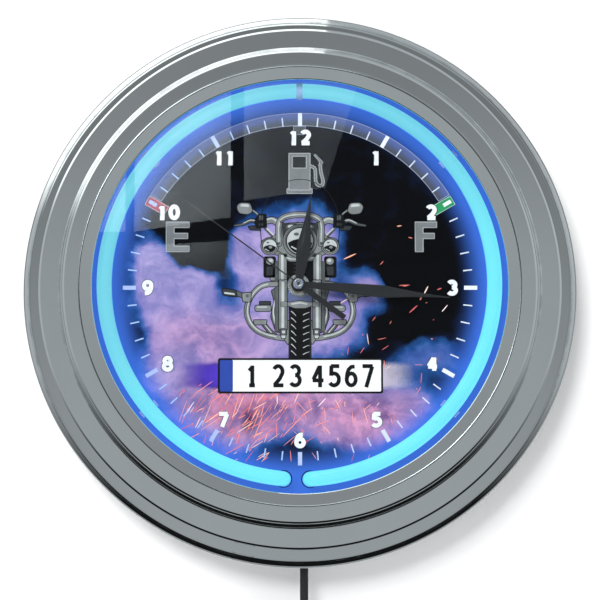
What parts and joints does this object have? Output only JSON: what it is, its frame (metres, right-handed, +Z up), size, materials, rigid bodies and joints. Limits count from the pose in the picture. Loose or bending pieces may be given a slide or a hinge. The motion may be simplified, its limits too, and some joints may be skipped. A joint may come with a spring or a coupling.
{
  "type": "service station advertising clock",
  "caption": "Round wall clock with a stepped chrome rim, a lit neon ring, a printed dial with a front view of a motorcycle, quartz hands and a mains cord with a plug.",
  "frame": {"origin": "bearing point of the wall screw in the keyhole of the hanger, on the plane of the wall, 118 mm above the axis of the rim", "axes": "+Z up, +Y into the wall along the clock's axis, so the dial faces -Y, and +X to the right as seen from the front"},
  "size_m": [0.38, 0.0586, 0.549],
  "materials": {
    "chrome_rim": "polished, mirror-smooth",
    "cap_chrome": "polished",
    "steel": "plain zinc-plated",
    "magnet": "nickel-plated magnet",
    "brass": "turned",
    "copper": "enamelled winding wire",
    "black_plastic": "fine moulded grain",
    "white_plastic": "smooth",
    "black_rubber": "soft PVC and rubber",
    "lens_glass": "clear float glass",
    "neon_glass": "lit tube, frosted from inside",
    "dial_print": "printed sheet, satin",
    "hand_black": "satin black",
    "board_green": "solder mask",
    "ferrite": "ferrite core and tape",
    "cell_wrap": "shrink sleeve"
  },
  "bodies": {
    "clock": {"bezel": "chrome_rim", "case_screw_1": "steel", "case_screw_2": "steel", "case_screw_3": "steel", "case_screw_4": "steel", "hanger_plate": "steel", "washer": "steel", "stator": "steel", "battery_contact_plus": "steel", "battery_contact_minus": "steel", "quartz_crystal": "steel", "centre_nut": "brass", "plug_pin_left": "brass", "plug_pin_right": "brass", "drive_coil": "copper", "back_shell": "black_plastic", "movement_front_case": "black_plastic", "movement_back_case": "black_plastic", "switch_body": "black_plastic", "reflector_ring": "white_plastic", "tube_clip_1": "white_plastic", "tube_clip_2": "white_plastic", "tube_clip_3": "white_plastic", "tube_clip_4": "white_plastic", "hv_lead_left": "white_plastic", "hv_lead_right": "white_plastic", "lens_gasket": "black_rubber", "electrode_boot_left": "black_rubber", "electrode_boot_right": "black_rubber", "mains_lead": "black_rubber", "cord_gland": "black_rubber", "power_cord": "black_rubber", "cord_coil": "black_rubber", "cord_tail": "black_rubber", "cord_tie": "black_rubber", "plug_sleeve": "black_rubber", "plug_body": "black_rubber", "lens": "lens_glass", "neon_tube": "neon_glass", "dial_plate": "dial_print", "inverter_board": "board_green", "quartz_board": "board_green", "transformer": "ferrite", "battery": "cell_wrap", "capacitor": "cell_wrap"},
    "seconds": {"second_hand": "hand_black", "hand_cap": "cap_chrome", "seconds_wheel": "steel"},
    "minutes": {"minute_hand": "hand_black", "centre_wheel": "white_plastic"},
    "hours": {"hour_hand": "hand_black", "hour_wheel": "white_plastic"},
    "motor_rotor": {"rotor": "magnet"},
    "idler": {"idler_wheel": "white_plastic"},
    "third": {"third_wheel": "white_plastic"},
    "minute_work": {"minute_wheel": "white_plastic"},
    "time_setter": {"setting_knob": "white_plastic"},
    "switch_rocker": {"rocker": "black_plastic"}
  },
  "joints": [
    {"name": "second_hand_turn", "type": "hinge", "parent": "clock", "child": "seconds", "pos_m": [-0.001, -0.0444, -0.1162], "axis": [0, 1, 0], "continuous": true},
    {"name": "minute_hand_turn", "type": "hinge", "parent": "clock", "child": "minutes", "pos_m": [-0.001, -0.0423, -0.1162], "axis": [0, 1, 0], "continuous": true},
    {"name": "hour_hand_turn", "type": "hinge", "parent": "clock", "child": "hours", "pos_m": [-0.001, -0.04, -0.1162], "axis": [0, 1, 0], "continuous": true},
    {"name": "rotor_turn", "type": "hinge", "parent": "clock", "child": "motor_rotor", "pos_m": [0.00909, -0.0216, -0.12217], "axis": [0, 1, 0], "continuous": true},
    {"name": "idler_turn", "type": "hinge", "parent": "clock", "child": "idler", "pos_m": [0.00383, -0.0248, -0.12025], "axis": [0, 1, 0], "continuous": true},
    {"name": "third_wheel_turn", "type": "hinge", "parent": "clock", "child": "third", "pos_m": [-0.0082, -0.023, -0.1162], "axis": [0, 1, 0], "continuous": true},
    {"name": "minute_wheel_turn", "type": "hinge", "parent": "clock", "child": "minute_work", "pos_m": [-0.001, -0.0282, -0.1082], "axis": [0, 1, 0], "continuous": true},
    {"name": "setting_knob_turn", "type": "hinge", "parent": "clock", "child": "time_setter", "pos_m": [0.007, -0.0152, -0.1082], "axis": [0, 1, 0], "continuous": true},
    {"name": "switch_rock", "type": "hinge", "parent": "clock", "child": "switch_rocker", "pos_m": [0.05972, -0.016, -0.28207], "axis": [0, -1, 0], "range_deg": [0, 20]}
  ],
  "couplings": [
    {"joint": "minute_hand_turn", "follows": "second_hand_turn", "ratio": 0.016667},
    {"joint": "hour_hand_turn", "follows": "second_hand_turn", "ratio": 0.0013889},
    {"joint": "rotor_turn", "follows": "second_hand_turn", "ratio": 30},
    {"joint": "idler_turn", "follows": "second_hand_turn", "ratio": -6},
    {"joint": "third_wheel_turn", "follows": "second_hand_turn", "ratio": -0.125},
    {"joint": "minute_wheel_turn", "follows": "second_hand_turn", "ratio": -0.0055556},
    {"joint": "setting_knob_turn", "follows": "second_hand_turn", "ratio": 0.016667}
  ]
}
